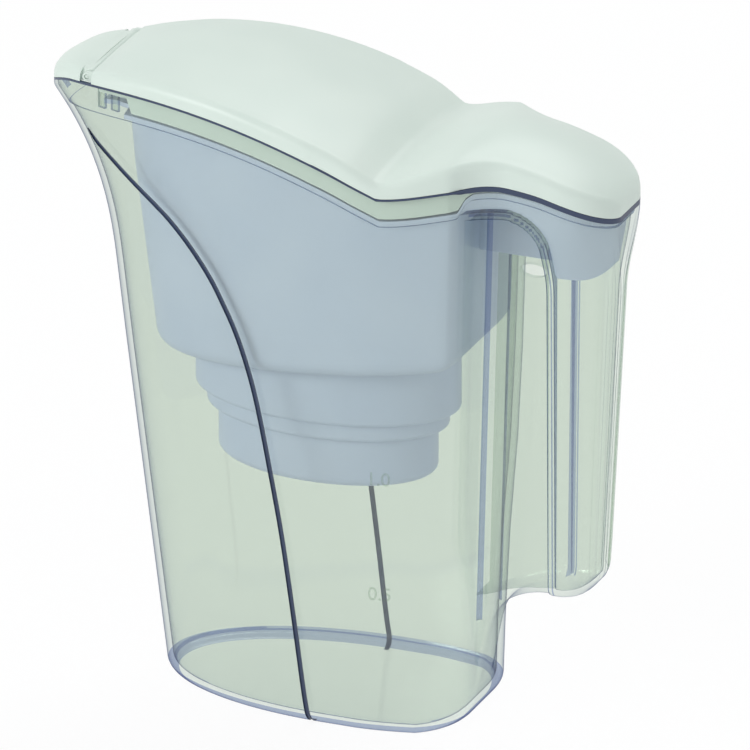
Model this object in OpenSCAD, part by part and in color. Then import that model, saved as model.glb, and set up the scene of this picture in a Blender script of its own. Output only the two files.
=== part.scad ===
// Water filter pitcher: a clear jug with a hollow moulded handle, a frosted lift-out
// reservoir that carries an oval filter cartridge, and a white lid with a hinged spout flap.
// X runs from the spout (-X) to the handle (+X), Z is up, the origin is on the table
// under the middle of the overall length.

/* [Overall] */
// Length from the spout tip to the back of the handle
overall_l = 254.6; // [245:0.5:265]
// Width of the body at the rim
body_w = 103.6; // [98:0.2:110]
// Height of the rim at the top of the front arch
arch_z = 266; // [262:0.5:270]

/* [Jug] */
// Wall thickness of the clear jug
wall = 2.6; // [2.2:0.1:3]
// Thickness of the jug floor
floor_t = 3.2; // [2.6:0.1:4.5]
// Radius of the outside edge round the foot
foot_r = 5.5; // [4.5:0.5:7]
// Width of the body just above the foot
foot_w = 90; // [86:0.5:94]
// Distance of the foot's nose in front of the origin
foot_nose = 80.2; // [77:0.2:83]
// Distance of the flat back wall behind the origin, at the foot
foot_back = 63.6; // [62:0.2:65]
// How far the back wall leans out between the foot and the rim
back_lean = 6.2; // [5:0.1:7]
// Forward reach of the spout beak beyond the leaning front wall
beak = 19; // [17:0.2:21]
// Width of the decorative crease on each side
crease_w = 2; // [1.6:0.1:2.4]
// Depth of the decorative crease
crease_d = 0.7; // [0.5:0.1:0.9]

/* [Rim and ledge] */
// Height of the rim at the kink between the two arches
kink_z = 241.5; // [239:0.5:243.5]
// Height of the rim at the top of the small arch over the handle
saddle_z = 246.3; // [245:0.1:248.5]
// Height of the rim at the back of the handle
tail_z = 233; // [231.5:0.5:235]
// Depth of the ledge below the rim round the body
ledge_drop = 13; // [11:0.5:14.5]
// Depth of the ledge below the rim round the handle
tail_ledge_drop = 6; // [5:0.5:7]
// Width of the ledge that the reservoir hangs on
ledge_w = 1; // [0.8:0.1:1.2]

/* [Handle] */
// Width of the handle at its lower end
grip_w = 26.4; // [25:0.2:29]
// Width of the handle just under the collar
grip_top_w = 31.6; // [30:0.2:34]
// Distance of the handle's front face behind the origin
grip_x = 96; // [94:0.5:98]
// Width of the hollow neck between body and handle
neck_w = 21.4; // [20:0.2:23]
// Height of the top of the finger recess
recess_z = 231; // [227:0.5:232]
// Radius of the finger recess at the handle
recess_r = 17.6; // [14:0.2:19]
// Lowest point of the handle
grip_z = 58.5; // [52:0.5:66]
// Depth of the flutes down the back of the handle
flute_d = 0.7; // [0.4:0.1:1]
// Width of the oval opening in the neck
eye_w = 12; // [9:0.5:13]
// Height of the oval opening in the neck
eye_h = 5.8; // [4.6:0.1:6.6]

/* [Reservoir] */
// Wall thickness of the reservoir
tank_wall = 2; // [1.6:0.1:2.4]
// Gap between the reservoir and the jug wall
tank_gap = 2.4; // [1.8:0.1:3]
// Height of the tank floor under the origin
tank_z = 154; // [151:0.5:157]
// Fall of the tank floor towards the spout, per millimetre
tank_fall = 0.115; // [0.09:0.005:0.13]
// Length of the oval well that holds the cartridge
well_l = 96; // [92:0.5:99]
// Width of the oval well that holds the cartridge
well_w = 55; // [52:0.5:58]
// Height of the underside of the well
well_z = 99.5; // [96:0.5:103]
// Height of the seat that the cartridge flange rests on
seat_z = 124; // [121:0.5:127]
// Thickness of the reservoir's top flange
flange_t = 2; // [1.6:0.1:2.4]

/* [Cartridge] */
// Gap between the cartridge and its well
cart_gap = 0.6; // [0.4:0.1:1]
// Wall thickness of the cartridge shell
cart_wall = 1.6; // [1.2:0.1:2]
// Height of the cartridge shell above its flange
cart_rise = 18; // [14:0.5:22]
// Height of the dome of the cartridge cap
cap_h = 11; // [8:0.5:13]
// Thickness of the two mesh screens
screen_t = 0.8; // [0.6:0.1:1.2]
// Section of the soft seal ring
seal_t = 1.6; // [1.2:0.1:2]

/* [Lid and spout flap] */
// Wall thickness of the lid
lid_wall = 2.2; // [1.8:0.1:2.6]
// Height of the straight skirt of the lid
skirt_h = 3.4; // [2.8:0.1:4.2]
// Radius of the soft edge of the lid
edge_r = 4.2; // [3.4:0.1:4.8]
// Rise of the dome over the body, from its edge to its middle
dome_h = 4.5; // [3:0.5:6]
// Distance of the flap's hinge axis behind the spout tip
hinge_back = 24.5; // [23.5:0.5:26]
// Radius of the round bead on the back edge of the flap
bead_r = 2.6; // [2.4:0.1:2.8]
// Radius of the flap's hinge pins
pin_r = 1; // [0.9:0.1:1.1]
// Running clearance round the hinge pins
pin_gap = 0.08; // [0.04:0.01:0.1]

/* [Hidden] */

tip_x = -overall_l / 2;
tail_x = overall_l / 2;
half_w = body_w / 2;

// Body: the plan of the jug at any height, as a half width over the length.
widest_x = 8;
kink_x = 35.3;
shoulder_x = 22;
flare_z = 179;
lip_z = 253.5;
flare_power = 2.6;
nose_from_z = 150;
body_top_z = 244;
tail_half = 10;
beak_from = tip_x + beak;
foot_nose_x = -foot_nose + 4;

function clamp(v, low, high) = max(low, min(high, v));
function mix(a, b, t) = a + (b - a) * t;
function smooth(t) = let(c = clamp(t, 0, 1)) c * c * (3 - 2 * c);
function bezier(a, b, c, t) = a * (1 - t) * (1 - t) + b * 2 * t * (1 - t) + c * t * t;

function flare(z) = clamp((z - flare_z) / (lip_z - flare_z), 0, 1);
function lean_x(z) = mix(foot_nose_x, beak_from, min(z / lip_z, 1));
function nose_x(z) = lean_x(z) - beak * pow(flare(z), flare_power);
function body_half(z) = mix(foot_w / 2, half_w, clamp(z / body_top_z, 0, 1.1));
function back_x(z) = foot_back + back_lean * clamp(z / body_top_z, 0, 1.1);
function corner_half(z) = body_half(z) - mix(8, 12.6, clamp(z / body_top_z, 0, 1));
function nose_power(z) = mix(2, 1.6, clamp((z - nose_from_z) / (body_top_z - nose_from_z), 0, 1));

// Half width ahead of the widest station, for a nose at from.
function bow_half(x, from, full, power) =
    full * pow(max(1 - pow(clamp((widest_x - x) / (widest_x - from), 0, 1), power), 0), 1 / 2.1);
function front_half(x, z, inset) =
    bow_half(x, nose_x(z) + inset, body_half(z) - inset, nose_power(z));
function side_half(x, z, inset) =
    let(t = clamp((x - shoulder_x) / (back_x(z) - 3 - shoulder_x), 0, 1))
    mix(body_half(z), corner_half(z), pow(t, 1.6)) - inset;

front_steps = 9;
side_steps = 3;
corner_steps = 3;

// One side of an outline at height z: a bow, the body's side and its back corner.
function outline(from, power, z, inset) =
    let(
        full = body_half(z) - inset,
        back = back_x(z) - inset,
        turn = back - max(8 - inset, 3),
        turn_y = side_half(turn, z, inset)
    )
    concat(
        [for (i = [0:front_steps]) let(x = widest_x - (widest_x - from) * cos(90 * i / front_steps))
            [x, bow_half(x, from, full, power)]],
        [for (i = [1:side_steps]) let(x = mix(widest_x, turn, i / side_steps))
            [x, side_half(x, z, inset)]],
        [for (i = [1:corner_steps])
            bezier([turn, turn_y], [back, turn_y - 2], [back, turn_y - 12], i / corner_steps)]
    );
function body_outline(z, inset) = outline(nose_x(z) + inset, nose_power(z), z, inset);

// Rim: the height of the parting line between lid and jug along the length.
arch_x = -70;
arch_r = (pow(kink_x - arch_x, 2) + pow(arch_z - kink_z, 2)) / (2 * (arch_z - kink_z));
saddle_x = tail_x - 51;
droop_x = -110;
droop = 0.016;
function arch(x, top_x, top_z, r) = top_z - r + sqrt(r * r - pow(x - top_x, 2));
function rim_z(x) =
    x < kink_x ? arch(x, arch_x, arch_z, arch_r) - droop * pow(min(x - droop_x, 0), 2)
    : x < saddle_x ? mix(kink_z, saddle_z, smooth((x - kink_x) / (saddle_x - kink_x)))
    : mix(saddle_z, tail_z, pow((min(x, tail_x) - saddle_x) / (tail_x - saddle_x), 2));
rim_top = max(arch_z, saddle_z) + 6;

// Plan of the collar and lid behind the body's back corners: a soft waist, then the handle's end.
collar_x = 64;
waist_x = tail_x - 42.3;
waist_half = 29;
bulge_x = tail_x - 26.3;
bulge_half = 28.2;
function tail_half_at(x) =
    x < collar_x ? side_half(x, body_top_z, 0) - 0.6
    : x < waist_x ? mix(waist_half, side_half(collar_x, body_top_z, 0),
        pow(1 - (x - collar_x) / (waist_x - collar_x), 2))
    : x < bulge_x ? mix(waist_half, bulge_half, smooth((x - waist_x) / (bulge_x - waist_x)))
    : let(t = (x - bulge_x) / (tail_x - bulge_x))
        mix(tail_half, bulge_half, pow(max(1 - pow(t, 2.4), 0), 0.62));

// Half width of the lid and of the jug's rim at x.
function rim_half(x) =
    x < widest_x ? front_half(x, rim_z(x), 0)
    : x < collar_x ? side_half(x, body_top_z, 0)
    : tail_half_at(x);

// Handle: its plan narrows below the collar.
grip_blend_z = 195;
grip_low_z = 73;
function grip_half(z) = mix(grip_w, grip_top_w, (z - grip_z) / (grip_blend_z - grip_z)) / 2;
function grip_tail(z) =
    z < grip_blend_z
    ? mix(tail_x - 8.3, tail_x - 2, clamp((z - grip_low_z) / (grip_blend_z - grip_low_z), 0, 1))
    : mix(tail_x - 2, tail_x, smooth((z - grip_blend_z) / (recess_z - grip_blend_z)));
function collar_share(z) = smooth((z - grip_blend_z) / (recess_z + 3 - grip_blend_z));

grip_steps = 16;
grip_from = 56;
// One side of the handle's outline at height z, from inside the body to the middle of its back.
function grip_point(i, z, inset) =
    let(
        t = i / grip_steps,
        back = grip_tail(z) - inset,
        x = mix(grip_from, back, sin(90 * pow(t, 0.8))),
        u = clamp((x - bulge_x) / (back - bulge_x), 0, 1),
        plain = grip_half(z) * pow(1 - pow(u, 2.2), 0.5),
        wide = tail_half_at(mix(x, x + tail_x - back, clamp((x - bulge_x) / (tail_x - bulge_x - 6), 0, 1))),
        ripple = inset > 0 || u < 0.35 ? 0 : flute_d * (i % 2) * (1 - collar_share(z))
    )
    [x - ripple * u, max(mix(plain, wide, collar_share(z)) - inset - ripple * (1 - u), 0.4)];
function grip_outline(z, inset) =
    [for (i = [0:grip_steps]) grip_point(i, z, inset)];

// A closed solid from a stack of half outlines, mirrored to both sides, one per height.
module loft(outlines, heights) {
    n = len(outlines[0]);
    first = outlines[0][0][1] == 0 ? 1 : 0;
    last = outlines[0][n - 1][1] == 0 ? n - 2 : n - 1;
    m = n + last - first + 1;
    points = [for (k = [0:len(outlines) - 1]) for (j = [0:m - 1])
        let(i = j < n ? j : last - (j - n), side = j < n ? 1 : -1)
        [outlines[k][i][0], side * outlines[k][i][1], heights[k]]];
    top = (len(outlines) - 1) * m;
    walls = [for (k = [0:len(outlines) - 2]) for (i = [0:m - 1])
        let(a = k * m + i, b = k * m + (i + 1) % m)
        for (f = [[a, b + m, a + m], [a, b, b + m]]) f];
    far = [for (i = [0:n - 1]) i < first || i > last ? i : n + last - i];
    caps = [for (i = [0:n - 2])
        for (f = [[i, far[i + 1], i + 1], [i, far[i], far[i + 1]]])
        if (f[0] != f[1] && f[1] != f[2]) f];
    polyhedron(
        points = points,
        faces = concat(walls, caps, [for (f = caps) [f[2] + top, f[1] + top, f[0] + top]]),
        convexity = 8
    );
}

body_levels = [flare_z, 200, 217, 231, 243, lip_z, rim_top];

module body_form(inset, bottom, round_r) {
    turns = [0, 45, 90];
    fillets = [for (a = turns) round_r * (1 - sin(a))];
    feet = [for (a = turns) bottom + round_r * (1 - cos(a))];
    levels = [for (z = body_levels) if (z > bottom + round_r + 2) z];
    loft(
        concat(
            [for (i = [0:len(turns) - 1]) body_outline(feet[i], inset + fillets[i])],
            [for (z = levels) body_outline(z, inset)]
        ),
        concat(feet, levels)
    );
}
// The top of the body alone, straight down from the rim.
module neck_form(inset) {
    levels = [for (z = body_levels) if (z > 205) z];
    loft([for (z = levels) body_outline(z, inset)], levels);
}

grip_levels = [40, grip_low_z, grip_blend_z, 207, 220.6, 233.4, rim_top - 10];

module grip_form(inset) {
    intersection() {
        loft([for (z = grip_levels) grip_outline(z, inset)], grip_levels);
        side_cut() grip_side(inset);
    }
}

// Turns a drawing in X and Z into a solid right through the object in Y.
module side_cut(depth = body_w * 1.5) {
    rotate([90, 0, 0])
        linear_extrude(depth, center = true)
            children();
}

// Side view of the neck and handle with its rounded underside.
web_z = 52;
module grip_side(inset) {
    offset(delta = -inset)
        polygon(concat(
            [[grip_from - 10, web_z - 6], [back_x(web_z), web_z - 3]],
            [for (t = [0:0.25:1]) bezier(
                [back_x(web_z) + 1, web_z], [back_x(web_z) + 6, grip_z - 0.5],
                [grip_x - 6, grip_z + 2], t)],
            [for (t = [0:0.2:1]) bezier(
                [grip_x + 1, grip_z + 0.6], [grip_x + 16, grip_z - 2], [tail_x - 7.5, grip_z + 15], t)],
            [[tail_x + 10, grip_z + 60], [tail_x + 10, rim_top], [grip_from - 10, rim_top]]
        ));
}

// Side view of the finger recess: open downwards, with a round upper corner at the handle.
module recess_side(grow) {
    offset(delta = grow)
        union() {
            translate([back_x(recess_z) - 30, 0])
                square([grip_x - back_x(recess_z) + 30 - recess_r, recess_z]);
            translate([back_x(recess_z) - 30, 0])
                square([grip_x - back_x(recess_z) + 30, recess_z - recess_r]);
            translate([grip_x - recess_r, recess_z - recess_r])
                circle(recess_r, $fn = 24);
        }
}

// The finger recess on both sides of the neck, grown on every side by a wall.
module recess(grow) {
    for (side = [-1, 1])
        translate([0, side * (neck_w - 2 * grow + body_w) / 2, 0])
            rotate([90, 0, 0])
                linear_extrude(body_w, center = true)
                    recess_side(grow);
}

hinge_x = tip_x + hinge_back;
lid_from = hinge_x + bead_r + 0.5;
flap_full_to = hinge_x - bead_r - 0.8;
flap_stations = concat(
    [for (a = [4, 30, 60]) tip_x + edge_r * (1 - cos(a))],
    [tip_x + 4.5, tip_x + 9, tip_x + 14, flap_full_to, flap_full_to + 0.1, hinge_x]
);
lid_stations = concat(
    [for (t = [0, 0.06, 0.17, 0.29, 0.42, 0.57, 0.72, 0.87]) mix(lid_from, widest_x, t)],
    [for (t = [0, 0.4, 0.7, 0.88, 1]) mix(widest_x, kink_x, t)],
    [for (t = [0.13, 0.34, 0.58, 0.81]) mix(kink_x, collar_x, t)],
    [for (t = [0, 0.063, 0.142, 0.222, 0.332, 0.443, 0.569, 0.696, 0.822]) mix(collar_x, tail_x, t)],
    [for (a = [20, 50, 75, 90]) tail_x - edge_r * (1 - sin(a))]
);
rim_stations = concat(
    [tip_x - 4], flap_stations, [for (x = lid_stations) if (x < tail_x - 0.5) x], [tail_x + 4]
);
// Height of the rim, carried on in a straight line behind the handle.
function rim_line(x) =
    x > tail_x ? rim_z(tail_x) + (rim_z(tail_x) - rim_z(tail_x - 1)) * (x - tail_x) : rim_z(max(x, tip_x));
// Everything above a line that follows the rim at the given drop below it.
module above(drop_body, drop_tail) {
    side_cut()
        polygon(concat(
            [for (x = rim_stations) [x, rim_line(x) - mix(drop_body, drop_tail, smooth((x - collar_x - 2) / 3))]],
            [[tail_x + 4, rim_top + 40], [tip_x - 4, rim_top + 40]]
        ));
}

// Crease: a line on the side view, cut a little into the skin, measured back from the front wall.
crease_path = [for (p = [
    [2.3, 241.5], [5.7, 237.2], [23.7, 225.4], [43.1, 212.5], [51.7, 203.7], [59.4, 193.2],
    [69.3, 171], [75.3, 139], [77.3, 109], [78.6, 82], [79, 45.4], [79.7, -1]
]) [lean_x(p[1]) + p[0], p[1]]];
module crease() {
    difference() {
        side_cut()
            for (i = [0:len(crease_path) - 2])
                hull() {
                    translate(crease_path[i]) circle(crease_w / 2, $fn = 10);
                    translate(crease_path[i + 1]) circle(crease_w / 2, $fn = 10);
                }
        body_form(crease_d, 0, foot_r);
    }
}

// Scale: raised strokes beside a figure position, on the near wall.
half_litre_z = 59.5;
litre_z = 111.5;
mark_l = 9;
mark_x = 35;
module scale_marks() {
    for (z = [half_litre_z, litre_z])
        hull()
            for (end = [-1, 1])
                translate([mark_x + end * mark_l / 2, -side_half(mark_x, z, -0.1), z])
                    sphere(0.45, $fn = 8);
}

module jug() {
    color([0.80, 0.85, 0.80, 0.35])
        difference() {
            union() {
                difference() {
                    body_form(0, 0, foot_r);
                    crease();
                }
                difference() {
                    grip_form(0);
                    recess(0);
                }
                scale_marks();
            }
            body_form(wall, floor_t, foot_r - 2);
            difference() {
                grip_form(wall);
                recess(wall);
            }
            ledge_cut();
            above(0, 0);
            eye();
        }
}

// The room inside the rim, round the body and the handle.
module band_form(inset) {
    neck_form(inset);
    difference() {
        grip_form(inset);
        recess(wall);
    }
}

// The inside of the jug above the ledge, wider than the wall below it.
module ledge_cut() {
    intersection() {
        band_form(wall - ledge_w);
        above(ledge_drop, tail_ledge_drop);
    }
}

// Oval opening through both walls of the neck, just in front of the handle.
eye_z = 203.4;
module eye() {
    translate([grip_x - 1 - eye_w / 2, 0, eye_z])
        rotate([90, 0, 0])
            scale([eye_w / eye_h, 1, 1])
                cylinder(h = neck_w + 4, d = eye_h, center = true, $fn = 28);
}

// Reservoir: a tank that hangs inside the body, clear of the spout, with a tail in the handle.
pour_gap = 15.5;
tank_round = 8;
tank_inset = wall + tank_gap;
tail_gap = 1.2;
neck_floor_z = eye_z + eye_h / 2 + 1.4;
tail_floor_z = 203;
tank_top = arch_z - 4;

module tank_form(inset) {
    turns = [0, 45, 90];
    round_r = tank_round - inset;
    heights = concat([for (a = turns) tank_z + inset + round_r * (1 - cos(a))], [tank_top]);
    insets = concat([for (a = turns) inset + round_r * (1 - sin(a))], [inset]);
    multmatrix([[1, 0, 0, 0], [0, 1, 0, 0], [tank_fall, 0, 1, 0]])
        loft(
            [for (i = [0:len(heights) - 1])
                outline(lean_x(heights[i]) + pour_gap + insets[i], 2, heights[i],
                    tank_inset + insets[i])],
            heights
        );
}

// Stepped oval well: a revolved profile stretched to the well's length. Its outside has round
// undersides, its inside (curl 0) has flat seats.
well_x = -6.4;
step_w = 2.85;
step_h = 8;
well_foot_r = 5;
well_stretch = well_l / well_w;
module well_form(inset, curl) {
    r = well_w / 2 - inset;
    low = well_z + inset;
    seat = seat_z + inset;
    high = tank_z + 10;
    foot = [0, 45, 90];
    turns = curl > 0 ? foot : [0, 90];
    translate([well_x, 0, 0])
        scale([well_stretch, 1, 1])
            rotate_extrude($fn = 36)
                polygon(concat(
                    [[0, low]],
                    [for (a = foot) [r - well_foot_r * (1 - sin(a)), low + well_foot_r * (1 - cos(a))]],
                    [for (a = turns) [r + step_w * sin(a), seat - curl * cos(a)]],
                    [for (a = turns) [r + step_w * (1 + sin(a)), seat + step_h - curl * cos(a)]],
                    [[r + 2 * step_w, high], [0, high]]
                ));
}

// Side view of the room for the tail: over the eye in the neck, deeper in the handle.
module tail_side(inset) {
    offset(delta = -inset)
        polygon(concat(
            [[back_x(recess_z) - 12, rim_top], [back_x(recess_z) - 12, neck_floor_z],
             [grip_x + 1, neck_floor_z], [grip_x + 5, tail_floor_z]],
            [for (t = [0:0.25:1]) bezier(
                [tail_x - 18, tail_floor_z], [tail_x - 4, tail_floor_z],
                [tail_x, tail_floor_z + 18], t)],
            [[tail_x, rim_top]]
        ));
}
module tail_form(inset) {
    intersection() {
        difference() {
            grip_form(wall + tail_gap + inset);
            recess(wall + tail_gap + inset);
        }
        side_cut()
            tail_side(inset);
    }
}

// Top flange: a thin deck that rests on the ledge all round and reaches forward over the nose
// of the tank as a tongue with two slots. The spout ahead of it stays open.
tongue_x = tip_x + 28;
seat_gap = 0.2;
rim_fit = tail_gap / 2;
tongue_slot = 3;
module flange() {
    difference() {
        intersection() {
            band_form(wall - ledge_w + rim_fit);
            above(ledge_drop - seat_gap, tail_ledge_drop - seat_gap);
        }
        translate([tip_x - 10, -half_w, 0])
            cube([tongue_x - tip_x + 10, body_w, arch_z + 20]);
        for (side = [-1, 1])
            hull()
                for (y = [5, 14])
                    translate([tongue_x + 4, side * y, arch_z - 30])
                        cylinder(h = 40, d = tongue_slot, $fn = 10);
    }
}

// Drain slots in the well floor, a row of rounded slots across its length.
slot_pitch = 9;
slot_d = 3;
module drain_slots() {
    for (i = [-4:4])
        hull()
            for (side = [-1, 1])
                translate([well_x + i * slot_pitch, side * (well_w / 2 - 13) * cos(i * 14), well_z - 1])
                    cylinder(h = tank_wall + 6, d = slot_d, $fn = 10);
}

module reservoir() {
    color([0.72, 0.79, 0.86, 0.6])
        difference() {
            union() {
                tank_form(0);
                well_form(0, step_w);
                tail_form(0);
                flange();
            }
            tank_form(tank_wall);
            well_form(tank_wall, 0);
            tail_form(tank_wall);
            above(ledge_drop - flange_t - seat_gap, tail_ledge_drop - flange_t - seat_gap);
            drain_slots();
        }
}

// Cartridge: an oval box that hangs by its flange in the well, on a soft seal ring.
well_half = well_w / 2 - tank_wall;
shell_half = well_half - cart_gap;
inner_half = shell_half - cart_wall;
seat_top = seat_z + tank_wall;
flange_half = well_half + step_w - 0.5;
shell_flange_t = 1.8;
shell_low = well_z + tank_wall + 0.4;
shell_flange_z = seat_top + seal_t + 0.1;
shell_top = shell_flange_z + shell_flange_t + cart_rise;
fit = 0.1;

// One side of an oval with the well's proportions, from nose to tail.
oval_steps = 14;
function oval(half) = [for (i = [0:oval_steps]) let(a = 180 * i / oval_steps)
    [well_x - well_stretch * half * cos(a), i == 0 || i == oval_steps ? 0 : half * sin(a)]];
module oval_block(half, low, high) {
    loft([oval(half), oval(half)], [low, high]);
}
// A row of rounded slots across the oval.
module slot_row(reach, low, high, side_count = 4) {
    for (i = [-side_count:side_count])
        hull()
            for (side = [-1, 1])
                translate([well_x + i * slot_pitch, side * reach * cos(i * 15), low])
                    cylinder(h = high - low, d = slot_d, $fn = 10);
}

module cartridge_shell() {
    foot = [0, 45, 90];
    color([0.93, 0.94, 0.95])
        difference() {
            union() {
                loft(
                    concat([for (a = foot) oval(shell_half - well_foot_r * (1 - sin(a)))],
                        [oval(shell_half)]),
                    concat([for (a = foot) shell_low + well_foot_r * (1 - cos(a))], [shell_top])
                );
                oval_block(flange_half, shell_flange_z, shell_flange_z + shell_flange_t);
            }
            oval_block(inner_half, shell_low + well_foot_r, shell_top + 1);
            oval_block(inner_half - well_foot_r + 1, shell_low + cart_wall, shell_top + 1);
            slot_row(inner_half - 10, shell_low - 1, shell_low + cart_wall + 1);
        }
}

cap_skirt = 3;
module cartridge_cap() {
    turns = [0, 42, 76];
    color([0.93, 0.94, 0.95])
        difference() {
            union() {
                oval_block(inner_half - fit, shell_top - cap_skirt, shell_top + fit);
                loft(
                    concat([oval(shell_half + 0.6)], [for (a = turns) oval((shell_half + 0.6) * cos(a))]),
                    concat([shell_top + fit], [for (a = turns) shell_top + 2 + (cap_h - 2) * sin(a)])
                );
            }
            oval_block(inner_half - fit - cart_wall, shell_top - cap_skirt - 1, shell_top + 2);
            loft(
                [for (a = turns) oval((inner_half - fit - cart_wall) * cos(a))],
                [for (a = turns) shell_top + 1.9 + (cap_h - 2 - cart_wall) * sin(a)]
            );
            slot_row(inner_half - 13, shell_top + 1, shell_top + cap_h + 1, 3);
        }
}

module cartridge_seal() {
    color([0.78, 0.80, 0.82])
        difference() {
            oval_block(flange_half - 0.2, seat_top + 0.05, seat_top + 0.05 + seal_t);
            oval_block(shell_half + 0.15, seat_top - 1, seat_top + seal_t + 1);
        }
}

media_low = shell_low + well_foot_r + fit + screen_t;
media_high = shell_top - cap_skirt - fit - screen_t;
module lower_screen() {
    color([0.86, 0.87, 0.88])
        oval_block(inner_half - 0.2, media_low - screen_t, media_low);
}
module upper_screen() {
    color([0.86, 0.87, 0.88])
        oval_block(inner_half - 0.2, media_high, media_high + screen_t);
}
module filter_media() {
    color([0.20, 0.20, 0.21])
        oval_block(inner_half - 0.3, media_low + fit, media_high - fit);
}

// Lid: how high its edge stands over the rim line, and how much its middle domes above that.
edge_heights = [
    [-127.3, 6.4], [-115, 6], [-105, 5], [-99, 5.2], [-93, 5.8], [-81, 6.5], [-70, 7.2], [-35, 8],
    [20, 8], [28, 7.2], [33, 6.6], [37, 6.8], [42, 7.6], [50, 9.4], [58, 10.6], [67, 11.2], [86, 10],
    [104, 9], [117, 8.5], [127.3, 8]
];
dome_shares = [
    [-127.3, 0.1], [-118, 0.3], [-106, 0.12], [-99, 0.12], [-90, 0.5], [-78, 0.8], [-35, 1], [15, 0.9], [36, 0.7],
    [55, 0.95], [70, 1.1], [100, 1], [120, 0.6], [127.3, 0.2]
];
edge_top = skirt_h + edge_r;
function end_round(x, r) =
    let(d = clamp(min(x - tip_x, tail_x - x), 0, r))
    r - sqrt(r * r - pow(r - d, 2));
function edge_h(x) = lookup(x, edge_heights) * edge_top / 7.6 - end_round(x, edge_r);
function dome(x) = dome_h * lookup(x, dome_shares);

lid_gap = 0.2;
// Section of the lid across its length at x, as height and half width, from the rim line up.
function lid_section(x, half, inset) =
    let(
        w = max(half - inset, 1.2),
        low = rim_z(x) + (inset > 0 ? -6 : lid_gap),
        top = rim_z(x) + edge_h(x) - inset,
        r = max(min(edge_r - inset, edge_h(x) - 1.2, w * 0.8), 0.2)
    )
    concat(
        [[low, w], [max(top - r, low + 0.1), w]],
        [for (a = [30, 60, 90]) [max(top - r + r * sin(a), low + 0.2), w - r * (1 - cos(a))]],
        [for (t = [0.8, 0.55, 0.28, 0]) [top + dome(x) * (1 - t * t), (w - r) * t]]
    );
// Solid drawn by sections at the given stations, with half widths to match.
module lid_form(stations, halves, inset) {
    multmatrix([[0, 0, 1, 0], [0, -1, 0, 0], [1, 0, 0, 0]])
        loft([for (i = [0:len(stations) - 1]) lid_section(stations[i], halves[i], inset)], stations);
}

ear_low = rim_z(lid_from) + lid_gap;
hinge_z = ear_low + 0.75 + pin_r + pin_gap;
lid_inner_stations = concat(
    [lid_from + lid_wall],
    [for (i = [2:2:25]) lid_stations[i]],
    [tail_x - lid_wall]
);

// The lid's thick skirt reaches down inside the jug's rim, with two tabs on each side of the spout.
band_drop = tail_ledge_drop - flange_t - seat_gap - 0.4;
skirt_fit = 0.9;
band_t = 1.4;
band_in = wall - ledge_w + skirt_fit;
tab_w = 4;
tab_h = 10.5;
module tabs() {
    for (x = [lid_from + 4.4, lid_from + 11.4])
        let(
            z = rim_z(x) - tab_h,
            slope = (front_half(x + 2, z, band_in) - front_half(x - 2, z, band_in)) / 4
        )
        for (side = [-1, 1])
            translate([x, side * (front_half(x, z, band_in) - 1.1), z])
                rotate([0, 0, side * atan(slope)])
                    translate([-tab_w / 2, -0.7, 0])
                        cube([tab_w, 1.4, tab_h + 2]);
}

// Upright block that follows the rim's plan, this far inside it.
band_stations = concat([lid_from - 8, lid_from - 4], lid_stations);
module rim_block(inset) {
    translate([0, 0, tail_z - 20])
        linear_extrude(rim_top + 40 - tail_z)
            offset(delta = -inset)
                polygon(concat(
                    [for (x = band_stations) [x, rim_half(x)]],
                    [for (i = [len(band_stations) - 1:-1:0]) [band_stations[i], -rim_half(band_stations[i])]]
                ));
}

module lid() {
    color([0.93, 0.95, 0.93])
        union() {
            difference() {
                union() {
                    lid_form(lid_stations, [for (x = lid_stations) rim_half(x)], 0);
                    difference() {
                        intersection() {
                            rim_block(band_in);
                            above(band_drop, band_drop);
                        }
                        above(-lid_gap - 0.3, -lid_gap - 0.3);
                        translate([tip_x, -half_w, 0])
                            cube([lid_from + lid_wall + 0.6 - tip_x, body_w, rim_top]);
                    }
                }
                intersection() {
                    lid_form(lid_inner_stations, [for (x = lid_inner_stations) rim_half(x)], lid_wall);
                    rim_block(band_in + band_t);
                }
            }
            tabs();
        }
}

// Two ears that reach forward from the lid's front wall and hold the flap's pins.
ear_t = 2.4;
bead_half = front_half(hinge_x, rim_z(hinge_x), 0) - wall - 1;
module hinge_ears() {
    color([0.93, 0.95, 0.93])
        for (side = [-1, 1])
            difference() {
                translate([0, side * (bead_half + 0.3 + ear_t / 2), 0])
                    rotate([90, 0, 0])
                        union() {
                            translate([hinge_x, hinge_z, 0])
                                cylinder(h = ear_t, r = hinge_z - ear_low, center = true, $fn = 32);
                            translate([hinge_x, ear_low, -ear_t / 2])
                                cube([lid_from - hinge_x - 0.05, 2 * (hinge_z - ear_low), ear_t]);
                        }
                translate([hinge_x, side * (bead_half + 0.3 + ear_t / 2), hinge_z])
                    rotate([90, 0, 0])
                        cylinder(h = ear_t + 1, r = pin_r + pin_gap, center = true, $fn = 32);
            }
}

flap_inner_stations = [tip_x + lid_wall, tip_x + 4.5, tip_x + 9, tip_x + 14,
    flap_full_to - 0.5, flap_full_to - 0.4, hinge_x - bead_r];
function flap_half(x, side_in) =
    x > flap_full_to - side_in + 0.05 ? min(front_half(x, rim_z(x), 0), bead_half)
    : front_half(x, rim_z(x), 0);

module spout_flap() {
    color([0.93, 0.95, 0.93])
        union() {
            difference() {
                lid_form(flap_stations, [for (x = flap_stations) flap_half(x, 0)], 0);
                lid_form(flap_inner_stations, [for (x = flap_inner_stations) flap_half(x, 0.5)],
                    lid_wall);
            }
            translate([hinge_x, 0, hinge_z])
                rotate([90, 0, 0])
                    cylinder(h = 2 * bead_half, r = bead_r, center = true, $fn = 32);
            translate([hinge_x, 0, hinge_z])
                rotate([90, 0, 0])
                    cylinder(h = 2 * (bead_half + ear_t), r = pin_r, center = true, $fn = 32);
        }
}

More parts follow.
